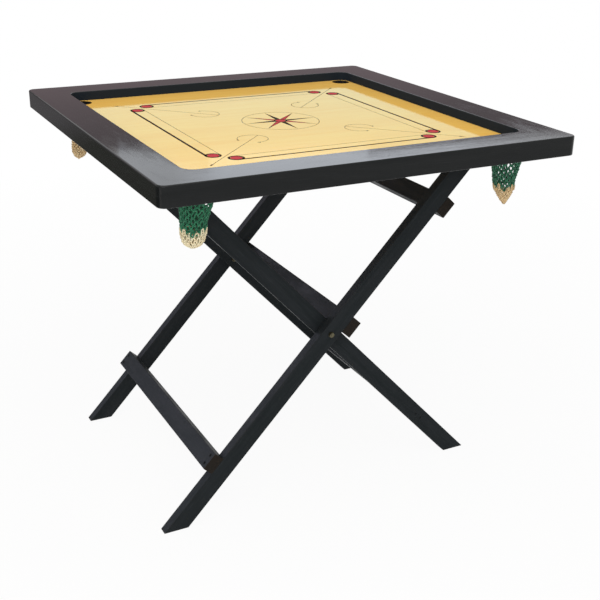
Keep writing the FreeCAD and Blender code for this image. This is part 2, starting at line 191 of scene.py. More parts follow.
RAW_LIGHT, RAW_DARK, RAW_PLY_DARK = rgb(0.62, 0.45, 0.27), rgb(0.44, 0.28, 0.14), rgb(0.42, 0.27, 0.14)
RAW_CLOUD = rgb(0.30, 0.19, 0.10)
LAYER_LIGHT, LAYER_DARK, LAYER_FIBRE = rgb(0.62, 0.45, 0.26), rgb(0.34, 0.21, 0.11), rgb(0.28, 0.17, 0.09)


# ---------------------------------------------------------------- materials
def black_wood(name, rotation, paint, paint_light, specular, roughness, wear_and_glint_strength, wear_and_glint_colour, end_axis=None,
               matt_walls=False):
    """Black stained or painted wood: fibres, pores, faint smears in the polish, lighter arrises that are
    partly worn paint and partly a painted highlight.

    rotation: turns X to the grain. end_axis: the direction of the grain, where the sawn ends show. matt_walls:
    the walls round the playing surface are not polished.
    """
    g = material_graph(name)
    fibres = g.noise(rotation, (0.060, 0.0013, 0.0013), ORIGIN, 4.0, 0.6)
    pores = g.noise(rotation, (0.016, 0.0007, 0.0007), (0.3, 0.1, 0.2), 2.0, 0.5)
    figure = g.noise(rotation, (0.30, 0.022, 0.022), (0.7, 0.4, 0.1), 3.0, 0.55, 0.6)
    cloud = g.noise(rotation, (0.10, 0.05, 0.05), (0.2, 0.9, 0.5), 4.0, 0.6)
    chips = g.noise(rotation, (0.018, 0.004, 0.004), (0.5, 0.3, 0.8), 4.0, 0.65)
    smears = g.noise(rotation, (0.075, 0.020, 0.020), (0.8, 0.5, 0.4), 5.0, 0.62)

    colour = g.mix(g.ramp(figure, 0.30, 0.72), paint, paint_light)
    colour = g.mix(g.ramp(fibres, 0.56, 0.74, 0.0, 0.55), colour, scaled(paint_light, 1.9))
    # arrises lighter in patches: partly worn paint, partly a painted highlight in place of the glints along
    # the edges
    wear_and_glint = g.math("MULTIPLY", g.ramp(g.edges(3.2 * MM), 0.16, 0.42), g.ramp(chips, 0.40, 0.62), clamp=True)
    wear_and_glint = g.math("MULTIPLY", wear_and_glint, wear_and_glint_strength)
    colour = g.mix(wear_and_glint, colour, wear_and_glint_colour)

    uneven = min(0.04, 0.3 * roughness)
    rough = g.math("ADD", g.ramp(cloud, 0.3, 0.7, roughness * 0.75, roughness * 1.3),
                   g.ramp(fibres, 0.4, 0.7, -0.5 * uneven, uneven))
    rough = g.math("ADD", rough, g.math("MULTIPLY", wear_and_glint, 0.15))
    rough = g.math("ADD", rough, g.ramp(smears, 0.48, 0.72, 0.0, 0.06))

    if end_axis is not None:
        along = g.vector("DOT_PRODUCT", g.face_normal(), end_axis, "Value")
        end = g.ramp(g.math("ABSOLUTE", along), 0.86, 0.97)
        speck = g.noise(rotation, (0.0011, 0.0011, 0.0011), (0.1, 0.6, 0.3), 3.0, 0.6)
        grain = g.mix(g.ramp(speck, 0.35, 0.65), END_GRAIN_DARK, END_GRAIN_LIGHT)
        colour = g.mix(g.math("MULTIPLY", end, 0.75), colour, grain)
        rough = g.math("ADD", rough, g.math("MULTIPLY", end, 0.22), clamp=True)
    if matt_walls:
        place = g.add("SeparateXYZ", Vector=g.object_place())
        facing_up = g.add("SeparateXYZ", Vector=g.face_normal()).outputs["Z"]
        out = g.math("MAXIMUM", g.math("ABSOLUTE", place.outputs["X"]), g.math("ABSOLUTE", place.outputs["Y"]))
        wall = g.math("MULTIPLY", g.ramp(out, play_half + 0.4 * MM, play_half + 1.0 * MM, 1.0, 0.0),
                      g.ramp(g.math("ABSOLUTE", facing_up), 0.3, 0.6, 1.0, 0.0))
        colour = g.mix(wall, colour, MATT_WALL)
        rough = g.math("ADD", rough, g.math("MULTIPLY", wall, 0.85), clamp=True)

    normal = g.bump(fibres, 0.02 * MM, 0.25)
    normal = g.bump(g.ramp(pores, 0.30, 0.46), 0.02 * MM, 0.15, normal)
    normal = g.bump(figure, 0.3 * MM, 0.2, normal)
    return g.finish(Base_Color=colour, Roughness=rough, Specular_IOR_Level=specular, Normal=normal)


def playing_surface(name):
    """Polished birch plywood above, raw plywood below, black on the edges and in the pocket holes."""
    g = material_graph(name)
    figure = g.noise(STILL, (0.34, 0.030, 0.030), (0.2, 0.6, 0.0), 4.0, 0.55, 0.8)
    fibres = g.noise(STILL, (0.050, 0.0011, 0.0011), (0.4, 0.2, 0.0), 4.0, 0.62)
    flecks = g.noise(STILL, (0.010, 0.0016, 0.0016), (0.9, 0.1, 0.0), 2.0, 0.5)
    cloud = g.noise(STILL, (0.16, 0.10, 0.10), (0.3, 0.3, 0.0), 3.0, 0.5)
    raw_fibres = g.noise(STILL, (0.08, 0.0016, 0.0016), (0.1, 0.8, 0.3), 4.0, 0.6)

    polished = g.mix(g.ramp(figure, 0.28, 0.74), LACQUER_DARK, LACQUER_LIGHT)
    polished = g.mix(g.ramp(fibres, 0.52, 0.78, 0.0, 0.45), polished, LACQUER_STREAK)
    polished = g.mix(g.ramp(flecks, 0.62, 0.72, 0.0, 0.22), polished, LACQUER_STREAK)
    raw = g.mix(g.ramp(raw_fibres, 0.35, 0.7), RAW_LIGHT, RAW_PLY_DARK)
    up = g.add("SeparateXYZ", Vector=g.face_normal()).outputs["Z"]
    top = g.ramp(up, 0.4, 0.6)
    sides = g.ramp(g.math("ABSOLUTE", up), 0.6, 0.5)
    colour = g.mix(sides, g.mix(top, raw, polished), HOLE_AND_EDGE_BLACK)
    rough = g.mix_numbers(top, 0.62, g.ramp(cloud, 0.3, 0.7, 0.050, 0.085))
    return g.finish(Base_Color=colour, Roughness=rough, Specular_IOR_Level=0.09,
                    Normal=g.bump(fibres, 0.05 * MM, 0.30))


def ink(name, colour, faded):
    """Screen printed ink under the polish: a little uneven, rubbed thin in places."""
    g = material_graph(name)
    cloud = g.noise(STILL, (0.012, 0.012, 0.012), ORIGIN, 4.0, 0.6)
    fine = g.noise(STILL, (0.030, 0.0010, 0.0010), ORIGIN, 3.0, 0.6)
    mixed = g.mix(g.ramp(cloud, 0.35, 0.75, 0.0, 0.6), colour, faded)
    mixed = g.mix(g.ramp(fine, 0.60, 0.78, 0.0, 0.35), mixed, faded)
    return g.finish(Base_Color=mixed, Roughness=g.ramp(cloud, 0.3, 0.7, 0.60, 0.75), Specular_IOR_Level=0.02,
                    Normal=g.bump(fine, 0.03 * MM, 0.3))


def raw_wood(name, rotation, light, dark, black_bore=False):
    """Planed softwood: growth rings drawn out along the grain, fine fibres, a few darker streaks.

    black_bore: the wood is black round the pocket holes.
    """
    g = material_graph(name)
    rings = g.bands(rotation, (0.35, 0.009, 0.009), (0.1, 0.4, 0.2), "Y", "SAW", 3.2, 3.0)
    fibres = g.noise(rotation, (0.05, 0.0010, 0.0010), ORIGIN, 4.0, 0.6)
    cloud = g.noise(rotation, (0.2, 0.04, 0.04), (0.6, 0.2, 0.4), 3.0, 0.5)
    colour = g.mix(g.ramp(rings, 0.2, 1.0, 0.0, 0.8), light, dark)
    colour = g.mix(g.ramp(fibres, 0.5, 0.75, 0.0, 0.5), colour, dark)
    colour = g.mix(g.ramp(cloud, 0.35, 0.7, 0.0, 0.25), colour, RAW_CLOUD)
    if black_bore:
        # all four holes at once: the distance is taken in the quarter where x and y are positive
        flat = g.vector("MULTIPLY", g.vector("ABSOLUTE", g.object_place()), (1.0, 1.0, 0.0))
        from_hole = g.vector("DISTANCE", flat, (pocket_at, pocket_at, 0.0), "Value")
        near_hole = g.ramp(from_hole, pocket_radius + 0.5 * MM, pocket_radius + 2.0 * MM, 1.0, 0.0)
        colour = g.mix(near_hole, colour, HOLE_AND_EDGE_BLACK)
    return g.finish(Base_Color=colour, Roughness=g.ramp(fibres, 0.3, 0.7, 0.55, 0.75), Specular_IOR_Level=0.35,
                    Normal=g.bump(fibres, 0.15 * MM, 0.6, g.bump(rings, 0.2 * MM, 0.4)))


def ply_edge(name):
    """Plywood seen on its layers."""
    g = material_graph(name)
    layers = g.bands(STILL, (0.02, 0.02, 0.0026), ORIGIN, "Z", "SIN", 0.6, 2.0)
    fibres = g.noise(STILL, (0.004, 0.004, 0.0006), ORIGIN, 4.0, 0.6)
    colour = g.mix(g.ramp(layers, 0.3, 0.7), LAYER_LIGHT, LAYER_DARK)
    colour = g.mix(g.ramp(fibres, 0.5, 0.75, 0.0, 0.5), colour, LAYER_FIBRE)
    return g.finish(Base_Color=colour, Roughness=g.ramp(fibres, 0.3, 0.7, 0.6, 0.8), Specular_IOR_Level=0.3,
                    Normal=g.bump(fibres, 0.2 * MM, 0.5))


def metal(name, bright, dull, smooth, rough, metallic=1.0, specular=0.5):
    """Plated or painted steel: cloudy plating, fine scratches, lighter where its edges are rubbed.

    smooth, rough: the least and the greatest roughness of the plating.
    """
    g = material_graph(name)
    cloud = g.noise(STILL, (0.004, 0.004, 0.004), ORIGIN, 4.0, 0.6)
    scratches = g.noise(Euler((0.3, 0.5, 0.9)), (0.010, 0.0004, 0.0004), ORIGIN, 3.0, 0.6)
    colour = g.mix(g.ramp(cloud, 0.35, 0.7), bright, dull)
    colour = g.mix(g.ramp(g.edges(1.2 * MM, 4), 0.2, 0.6, 0.0, 0.35), colour, scaled(bright, 1.5))
    roughness = g.math("ADD", g.ramp(cloud, 0.3, 0.7, smooth, rough), g.ramp(scratches, 0.5, 0.8, 0.0, 0.12),
                       clamp=True)
    return g.finish(Base_Color=colour, Metallic=metallic, Roughness=roughness, Specular_IOR_Level=specular,
                    Normal=g.bump(scratches, 0.04 * MM, 0.4))


def yarn(name, light, dark):
    """Cotton yarn: matt, with loose fibres and painted shade in the hollows between the plies."""
    g = material_graph(name)
    turned = Euler((0.2, 0.4, 0.1))
    hair = g.noise(turned, (0.0011, 0.0004, 0.0004), ORIGIN, 4.0, 0.65)
    cloud = g.noise(turned, (0.009, 0.009, 0.009), (0.3, 0.1, 0.7), 3.0, 0.5)
    ao_for_painted_shade = g.add("AmbientOcclusion", {"samples": 6}, Distance=4.0 * MM).outputs["AO"]
    colour = g.mix(g.ramp(cloud, 0.3, 0.7), dark, light)
    colour = g.mix(g.ramp(hair, 0.45, 0.75, 0.0, 0.45), colour, scaled(light, 1.5))
    # painted shade: the colour is darker where ambient occlusion finds the yarn hemmed in
    colour = g.mix(g.ramp(ao_for_painted_shade, 0.15, 0.75, 0.35, 0.0), colour, scaled(dark, 0.35))
    return g.finish(Base_Color=colour, Roughness=g.ramp(hair, 0.3, 0.7, 0.78, 0.95), Specular_IOR_Level=0.25,
                    Sheen_Weight=0.25, Sheen_Roughness=0.5, Normal=g.bump(hair, 0.25 * MM, 0.7))


def grain_direction(node):
    """The direction of the longest edge of a CAD node's mesh."""
    mesh = node.data
    ends = np.array([e.vertices[:] for e in mesh.edges])
    points = np.array([v.co[:] for v in mesh.vertices])
    runs = points[ends[:, 1]] - points[ends[:, 0]]
    longest = runs[np.argmax((runs ** 2).sum(1))]
    longest /= np.linalg.norm(longest)
    lead = longest[np.argmax(np.abs(longest))]
    return Vector(longest * (1.0 if lead > 0 else -1.0))


woods = {}


def wood_for(slot, direction, black_bore):
    """The wood of a slot with its grain along direction; pieces that lie the same way share one material."""
    key = (slot, black_bore) + tuple(round(c, 2) for c in direction)
    if key not in woods:
        rotation = direction.to_track_quat("X", "Z").to_euler()
        name = slot + "_" + str(len(woods))
        if slot == "black_frame":
            woods[key] = black_wood(name, rotation, FRAME_PAINT, FRAME_PAINT_LIGHT, specular=0.16,
                                    roughness=0.055, wear_and_glint_strength=0.22, wear_and_glint_colour=WEAR_AND_GLINT_FRAME, matt_walls=True)
        elif slot == "black_stand":
            woods[key] = black_wood(name, rotation, STAND_PAINT, STAND_PAINT_LIGHT, specular=0.05,
                                    roughness=0.46, wear_and_glint_strength=0.50, wear_and_glint_colour=WEAR_AND_GLINT_STAND,
                                    end_axis=tuple(direction))
        else:
            woods[key] = raw_wood(name, rotation, RAW_LIGHT, RAW_DARK, black_bore)
    return woods[key]


plain = {
    "playing_ply": playing_surface("playing_ply_polished"),
    "plywood": ply_edge("plywood_layers"),
    "plated_steel": metal("yellow_zinc_steel", rgb(0.15, 0.135, 0.085), rgb(0.035, 0.032, 0.023),
                          smooth=0.24, rough=0.40),
    "zinc_screws": metal("bright_zinc_steel", rgb(0.66, 0.66, 0.64), rgb(0.44, 0.44, 0.44),
                         smooth=0.28, rough=0.42),
    "black_screws": metal("painted_screws", rgb(0.008, 0.010, 0.011), rgb(0.014, 0.016, 0.018),
                          smooth=0.45, rough=0.6, metallic=0.0, specular=0.10),
}
for name, node in nodes.items():
    slot = node.data.materials[0].name
    if slot in plain:
        finish = plain[slot]
    elif slot in ("black_frame", "black_stand", "raw_wood"):
        finish = wood_for(slot, grain_direction(node), name.startswith("pocket_block"))
    else:
        continue
    for i in range(len(node.data.materials)):
        node.data.materials[i] = finish


def new_piece(name, verts, faces, materials, smooth=False):
    """A mesh piece that rides on the board."""
    mesh = bpy.data.meshes.new(name)
    mesh.from_pydata(verts, [], faces)
    for material in materials:
        mesh.materials.append(material)
    mesh.polygons.foreach_set("use_smooth", [smooth] * len(mesh.polygons))
    mesh.update()
    piece = bpy.data.objects.new(name, mesh)
    scene.collection.objects.link(piece)
    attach(piece, "board")
    return piece


# ---------------------------------------------------------------- printed markings
ink_low = surface_z + 0.02 * MM                # a hair above the polish
ink_high = ink_low + 0.06 * MM
print_shift = Vector((-3.0 * MM, -3.0 * MM))   # the printing is off centre
needle = 0.02 * MM                             # how narrow a printed point gets
thin_line = 1.1 * MM
centre_circle = 85.0 * MM

base_offset = 101.5 * MM                       # from the frame to the outer edge of the base line
base_length, base_thick = 470.0 * MM, 5.4 * MM
base_circle_radius = 15.9 * MM                 # of the circle that both base lines touch
base_ring_outer, base_ring_inner, base_circle_red = 16.6 * MM, 11.9 * MM, 11.5 * MM

arrow_outer, arrow_inner = 285.0 * MM, 103.7 * MM
arrow_head_length, arrow_head_width, head_reach = 13.0 * MM, 5.6 * MM, 3.0 * MM
arc_at, arc_radius, arc_gap = 126.2 * MM, 31.75 * MM, 41.0      # arc_gap: half of its opening, in degrees
arc_head_length, arc_head_width, arc_head_lean = 8.0 * MM, 4.4 * MM, 0.25

star_reach, star_root, star_half_width, star_outline = 83.0 * MM, 15.0 * MM, 5.6 * MM, 1.6 * MM
star_overlap = 0.8 * MM                        # how far the black arms run into the ring round the middle
centre_ring_inner, centre_red = 11.0 * MM, 10.6 * MM


class Print:
    """Flat closed solids of ink, gathered into one mesh."""

    def __init__(self):
        self.verts, self.faces = [], []

    def strip(self, left, right, closed=False):
        """A band between two rows of points."""
        n, base = len(left), len(self.verts)
        for z in (ink_low, ink_high):
            for side in (left, right):
                self.verts += [(p[0] + print_shift.x, p[1] + print_shift.y, z) for p in side]
        a, b, c, d = (base + n * k for k in range(4))
        for i in range(n if closed else n - 1):
            j = (i + 1) % n
            self.faces += [(c + i, c + j, d + j, d + i), (a + j, a + i, b + i, b + j),
                           (a + i, a + j, c + j, c + i), (b + j, b + i, d + i, d + j)]
        if not closed:
            self.faces += [(a, c, d, b), (a + n - 1, b + n - 1, d + n - 1, c + n - 1)]

    def line(self, start, end, width, end_width=None):
        side = (end - start).normalized().orthogonal()
        first, second = side * width / 2, side * (width if end_width is None else end_width) / 2
        self.strip([start + first, end + second], [start - first, end - second])

    def head(self, tip, direction, length, width):
        """An arrow head that points along direction."""
        self.line(tip - direction.normalized() * length, tip, width, needle)

    def arc(self, centre, radius, width, first=0.0, last=360.0, steps=64):
        closed = last - first >= 360.0
        count = steps if closed else steps + 1
        turns = [math.radians(first + (last - first) * i / steps) for i in range(count)]
        inner, outer = ([(centre[0] + reach * math.cos(t), centre[1] + reach * math.sin(t)) for t in turns]
                        for reach in (radius - width / 2, radius + width / 2))
        self.strip(inner, outer, closed)

    def ring(self, centre, outer, inner):
        self.arc(centre, (outer + inner) / 2, outer - inner)

    def disc(self, centre, radius):
        """Closed but for a pinhole in the middle."""
        self.arc(centre, radius / 2, radius * 0.999)

    def build(self, name, material):
        return new_piece(name, self.verts, self.faces, [material])


def quarter(turn, x, y):
    """A place on the board, turned by a number of right angles."""
    return Matrix.Rotation(math.radians(90 * turn), 2) @ Vector((x, y))


black_ink = ink("ink_black", rgb(0.026, 0.013, 0.009), rgb(0.075, 0.042, 0.024))
red_ink = ink("ink_red", rgb(0.52, 0.040, 0.060), rgb(0.60, 0.110, 0.105))
black_print, red_print = Print(), Print()

line_out = play_half - base_offset - base_thick / 2
circle_line = play_half - base_offset - base_circle_radius
line_in = circle_line - base_circle_radius + thin_line / 2
circle_at = base_length / 2 - base_circle_radius
for turn in range(4):
    # the two base lines of a side, and the circles at their ends
    for away, width in ((line_out, base_thick), (line_in, thin_line)):
        black_print.line(quarter(turn, -circle_at, -away), quarter(turn, circle_at, -away), width)
    for sign in (-1, 1):
        centre = quarter(turn, sign * circle_at, -circle_line)
        black_print.ring(centre, base_ring_outer, base_ring_inner)
        red_print.disc(centre, base_circle_red)
    # the diagonal arrow: a line from near the pocket, the arc it runs to, and their heads
    black_print.line(quarter(turn, -arrow_outer, -arrow_outer), quarter(turn, -arrow_inner, -arrow_inner),
                     thin_line)
    arrow_tip = -arrow_outer - head_reach
    black_print.head(quarter(turn, arrow_tip, arrow_tip), quarter(turn, -1, -1), arrow_head_length,
                     arrow_head_width)
    middle = quarter(turn, -arc_at, -arc_at)
    opening = 225 + 90 * turn
    black_print.arc(middle, arc_radius, thin_line, opening - 360 + arc_gap, opening - arc_gap)
    for side in (-1, 1):
        angle = math.radians(opening + side * arc_gap)
        tip = middle + Vector((math.cos(angle), math.sin(angle))) * arc_radius
        tangent = Vector((math.sin(angle), -math.cos(angle))) * side
        inward = Vector((-math.cos(angle), -math.sin(angle))) * arc_head_lean
        black_print.head(tip + tangent * head_reach, tangent + inward, arc_head_length, arc_head_width)

black_print.arc(ORIGIN, centre_circle, thin_line, steps=160)
for k in range(8):
    angle = math.radians(45 * k)
    out = Vector((math.cos(angle), math.sin(angle)))
    tip = out * star_reach
    if k % 2 == 0:
        black_print.line(out * (star_root - star_overlap), tip, 2 * star_half_width, 2 * needle)
    else:
        # a red arm between two black edges
        side, root = out.orthogonal(), out * star_root
        red_half = star_half_width - star_outline
        red_tip = root + (tip - root) * red_half / star_half_width
        black_print.strip([root + side * star_half_width, tip + side * needle],
                          [root + side * red_half, red_tip + side * needle])
        black_print.strip([root - side * red_half, red_tip - side * needle],
                          [root - side * star_half_width, tip - side * needle])
        red_print.line(root, red_tip, 2 * red_half - 4 * needle, needle)
red_print.disc(ORIGIN, centre_red)
black_print.ring(ORIGIN, star_root, centre_ring_inner)
printed = [black_print.build("markings_black", black_ink), red_print.build("markings_red", red_ink)]


# ---------------------------------------------------------------- pocket nets
GREEN, CREAM = 0, 1                            # places in the lists of yarns
plain_yarns = [yarn("yarn_green", rgb(0.042, 0.265, 0.128), rgb(0.012, 0.112, 0.056)),
               yarn("yarn_cream", rgb(1.0, 0.92, 0.62), rgb(1.0, 0.81, 0.49))]
# the same two yarns made darker: painted shade for the nets that hang in deeper shade, near right and far left
painted_shade_yarns = [yarn("yarn_green_painted_shade", rgb(0.048, 0.220, 0.118), rgb(0.016, 0.090, 0.050)),
              yarn("yarn_cream_painted_shade", rgb(0.86, 0.65, 0.37), rgb(0.72, 0.45, 0.21))]

RIM_RADIUS, RIM_INSET = 44.0 * MM, 4.0 * MM
NECK_RADIUS, NECK_DEPTH, BODY_RADIUS = 26.5 * MM, 46.0 * MM, 24.5 * MM
FLARE_SIDE, FLARE_DROP = math.radians(-30), 22.0 * MM           # on this side the bag narrows lower down
YARN_RADIUS, RIM_YARN_RADIUS, CREAM_RADIUS = 1.55 * MM, 1.9 * MM, 1.75 * MM
STITCH_RADIUS, KNOT_RADIUS = 1.45 * MM, 1.7 * MM
YARN_SIDES, PLY_PITCH = 8, 6.5 * MM
STRAND_APART, STRAND_TURN = 1.25 * MM, 10.0 * MM                # of two strands that twist round each other
POINT_SPACING, LEAST_SIZE, LEAST_DEPTH = 1.25 * MM, 0.6 * MM, 0.5 * MM
LOOPS = 13
FIRST_GREEN, CREAM_PITCH, CREAM_TIP_PITCH = 11.0 * MM, 5.8 * MM, 0.72     # the last is a share of the pitch
CREAM_FIRST_UP, CREAM_UP, CREAM_DOWN = 7.0 * MM, 4.4 * MM, 4.2 * MM
STITCHES, STITCH_POINTS, KNOT_RINGS = 9, 28, 3


def net_radius(depth, shape, angle=FLARE_SIDE + math.pi):
    """Radius of the bag's outside at a depth below its rim.

    shape: the slimness of the body, how pointed its end is, the depth of the bag. Without an angle, it is the
    radius on the side away from the flare.
    """
    slim, pointed, net_depth = shape
    body = BODY_RADIUS * slim
    neck = NECK_RADIUS * (0.5 + 0.5 * slim)
    facing = max(0.0, math.cos(angle - FLARE_SIDE))
    neck_depth = NECK_DEPTH + FLARE_DROP * facing
    straight = net_depth - BODY_RADIUS * (1.0 + 0.45 * pointed)
    share = min(1.0, max(0.0, depth - NECK_DEPTH) / (straight - NECK_DEPTH))
    trunk = neck + (body - neck) * share
    if depth < neck_depth:
        share = 1.0 - max(depth, 0.0) / neck_depth
        return trunk + (RIM_RADIUS - neck) * share ** (2.0 - 0.7 * facing)
    if depth < straight:
        return trunk
    share = min(1.0, (depth - straight) / (net_depth - straight))
    return body * max(0.0, 1.0 - share ** (2.0 - 0.8 * pointed)) ** (0.5 + 0.3 * pointed)


class Net:
    """Rings of looped yarn below the centre of a pocket's rim, gathered into one mesh."""

    def __init__(self, centre, lean, shape, seed):
        self.centre, self.lean, self.shape = Vector(centre), Vector(lean), shape
        self.random = random.Random(seed)
        self.verts, self.faces, self.indices = [], [], []

    def tube(self, points, radius, material):
        """A closed two-ply yarn along points: its section is pinched, and turns as it goes."""
        points = np.array(points)
        n = len(points)
        tangents = np.roll(points, -1, 0) - np.roll(points, 1, 0)
        tangents /= np.linalg.norm(tangents, axis=1)[:, None]
        axis = points - np.array([self.centre.x, self.centre.y, 0.0])
        axis[:, 2] = 0.3 * MM
        axis /= np.linalg.norm(axis, axis=1)[:, None]
        normal = axis - (axis * tangents).sum(1)[:, None] * tangents
        normal /= np.maximum(np.linalg.norm(normal, axis=1), 1e-9)[:, None]
        other = np.cross(tangents, normal)
        steps = np.linalg.norm(np.roll(points, -1, 0) - points, axis=1)
        travel = np.concatenate(([0.0], np.cumsum(steps)[:-1]))
        total = travel[-1] + steps[-1]
        half_turns = max(1, round(2 * total / PLY_PITCH))       # the two plies look alike after half a turn
        twist = 2 * math.pi * (half_turns / 2) * travel / total
        base = len(self.verts)
        for k in range(YARN_SIDES):
            angle = 2 * math.pi * k / YARN_SIDES
            reach = radius * (0.86 + 0.20 * np.cos(2 * (angle - twist)))
            ring = points + reach[:, None] * (math.cos(angle) * normal + math.sin(angle) * other)
            self.verts += [tuple(v) for v in ring]
        for i in range(n):
            j = (i + 1) % n
            for k in range(YARN_SIDES):
                m = (k + 1) % YARN_SIDES
                self.faces.append((base + k * n + i, base + k * n + j, base + m * n + j, base + m * n + i))
                self.indices.append(material)

    def place(self, angle, radius, depth):
        sway = (max(0.0, depth) / self.shape[2]) ** 1.4
        return (self.centre.x + radius * math.cos(angle) + self.lean.x * sway,
                self.centre.y + radius * math.sin(angle) + self.lean.y * sway,
                self.centre.z - depth)

    def row(self, depth, up, down, phase, material, bulge, radius=YARN_RADIUS, loops=LOOPS, spread=0.0,
            out=0.0, strands=1):
        """One ring of loops. up, down: how far its loops reach above and below depth.

        bulge: how far their upper ends stand out. spread: how far they swing sideways. Two strands twist round
        each other.
        """
        rand = self.random
        shifts = [rand.uniform(-0.30, 0.30) for _ in range(loops)]
        reaches = [rand.uniform(0.72, 1.22) for _ in range(loops)]
        pushes = [rand.uniform(-0.7, 0.7) * MM for _ in range(loops)]
        length = loops * 2 * math.hypot(math.pi * net_radius(depth, self.shape) / loops, up + down)
        count = max(loops * 10, int(length / POINT_SPACING))
        turns = round(length / STRAND_TURN)
        apart = STRAND_APART if strands > 1 else 0.0
        start = rand.uniform(0.0, 6.28)
        for strand in range(strands):
            points = []
            for i in range(count):
                turn = i / count * loops
                k = int(turn) % loops
                share = turn - int(turn)
                ease = share * share * (3 - 2 * share)
                shift, reach, push = (values[k] * (1 - ease) + values[(k + 1) % loops] * ease
                                      for values in (shifts, reaches, pushes))
                wave = math.cos(2 * math.pi * (share + phase + shift * 0.5))
                swing = math.sin(2 * math.pi * 2 * (share + phase + shift * 0.5))
                twist = start + math.pi * strand + 2 * math.pi * turns * i / count
                here = depth + (-wave * up if wave > 0 else -wave * down) * reach + apart * math.cos(twist)
                angle = 2 * math.pi * (turn + spread * swing) / loops
                size = (net_radius(here, self.shape, angle) - YARN_RADIUS + bulge * wave + push + out
                        + 0.6 * apart * math.sin(twist))
                points.append(self.place(angle, max(LEAST_SIZE, size), max(here, LEAST_DEPTH)))
            self.tube(points, radius, material)

    def stitch(self, angle, depth, tall, wide, radius, material):
        """One long loop of its own, over the rows."""
        points = []
        for i in range(STITCH_POINTS):
            turn = 2 * math.pi * i / STITCH_POINTS
            here = depth + tall / 2 * math.cos(turn)
            size = net_radius(here, self.shape, angle)
            points.append(self.place(angle + wide / 2 * math.sin(turn) / size, size + 0.9 * MM, here))
        self.tube(points, radius, material)

    def ring(self, depth, size, radius, material, steps=120, wobble=0.5 * MM):
        """One plain ring of yarn, a little uneven."""
        first, second = self.random.uniform(0, 6.28), self.random.uniform(0, 6.28)
        points = []
        for i in range(steps):
            angle = 2 * math.pi * i / steps
            points.append(self.place(angle, size + wobble * math.sin(3 * angle + first),
                                     depth + wobble * math.sin(5 * angle + second)))
        self.tube(points, radius, material)


def make_net(corner, lean, shape, green_rows, green_pitch, seed, yarns):
    """The net of one pocket. lean: how far its tip hangs to the side."""
    low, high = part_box("pocket_net_" + corner)
    net = Net(((low.x + high.x) / 2, (low.y + high.y) / 2, high.z), lean, shape, seed)
    net_depth = shape[2]
    net.ring(depth=2.4 * MM, size=RIM_RADIUS - RIM_INSET, radius=RIM_YARN_RADIUS, material=GREEN)
    net.row(depth=4.6 * MM, up=4.0 * MM, down=2.0 * MM, phase=0.0, material=GREEN, bulge=1.6 * MM,
            loops=LOOPS * 2, out=-2.4 * MM)

    depth = FIRST_GREEN
    reach = green_pitch * 0.55
    for k in range(green_rows):
        net.row(depth, up=reach, down=reach, phase=0.5 * (k % 2), material=GREEN, bulge=1.0 * MM, spread=0.05,
                strands=2)
        depth += green_pitch
    edge = depth - green_pitch * 0.6

    # towards the tip, the rows have fewer loops and lie closer together
    depth = edge + 3.0 * MM
    k = 0
    while depth < net_depth - 1.5 * MM:
        size = net_radius(depth, net.shape)
        loops = LOOPS if size > 14 * MM else (9 if size > 8 * MM else 6)
        net.row(depth, up=CREAM_FIRST_UP if k == 0 else CREAM_UP, down=CREAM_DOWN, phase=0.5 * (k % 2) + 0.5,
                material=CREAM, bulge=1.2 * MM, radius=CREAM_RADIUS, loops=loops, spread=0.08)
        depth += CREAM_PITCH * (1.0 if size > 15 * MM else CREAM_TIP_PITCH)
        k += 1

    # where the colours change, single stitches of each run over the other
    rand = net.random
    for j in range(STITCHES):
        angle = 2 * math.pi * (j + rand.uniform(-0.3, 0.3)) / STITCHES
        net.stitch(angle, depth=edge - rand.uniform(-1.0, 5.0) * MM, tall=rand.uniform(9.0, 15.0) * MM,
                   wide=rand.uniform(3.5, 6.0) * MM, radius=STITCH_RADIUS, material=CREAM if j % 3 else GREEN)

    # the gathering knot at the tip
    for j in range(KNOT_RINGS):
        net.ring(depth=net_depth - (0.6 + 2.1 * j) * MM, size=(1.6 + 1.5 * j) * MM, radius=KNOT_RADIUS,
                 material=CREAM, steps=20, wobble=0.2 * MM)

    piece = new_piece("thread_net_" + corner, net.verts, net.faces, yarns, smooth=True)
    piece.data.polygons.foreach_set("material_index", net.indices)
    piece.data.update()
    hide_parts("pocket_net_" + corner)


make_net("near_left", lean=(-3.3 * MM, 1.3 * MM), shape=(0.94, 0.1, 114.0 * MM), green_rows=11,
         green_pitch=6.9 * MM, seed=11, yarns=plain_yarns)
make_net("near_right", lean=(6.5 * MM, -5.9 * MM), shape=(0.86, 1.0, 117.5 * MM), green_rows=11,
         green_pitch=6.6 * MM, seed=23, yarns=painted_shade_yarns)
make_net("far_left", lean=(-14.5 * MM, 6.4 * MM), shape=(0.80, 0.2, 112.0 * MM), green_rows=8,
         green_pitch=6.8 * MM, seed=37, yarns=painted_shade_yarns)
make_net("far_right", lean=(3.0 * MM, -2.0 * MM), shape=(0.86, 0.6, 115.0 * MM), green_rows=10,
         green_pitch=6.8 * MM, seed=41, yarns=plain_yarns)


# ---------------------------------------------------------------- floor, light groups, lamps
def stage_material(name, shade, white, nearest_share):
    """A pale matt stage. Most of what is seen of it is flat white, so the background stays white."""
    g = material_graph(name)
    away = g.vector("LENGTH", g.object_place(), output="Value")
    both = g.add("MixShader")
    g.set(both, "0", g.math("MULTIPLY", g.seen(), g.ramp(away, 0.9, 2.6, nearest_share, 1.0)))
    g.set(both, "1", g.add("BsdfDiffuse", Color=shade).outputs[0])
    g.set(both, "2", g.add("Emission", Color=white, Strength=1.0).outputs[0])
    g.add("OutputMaterial", Surface=both.outputs[0])
    return g.owner


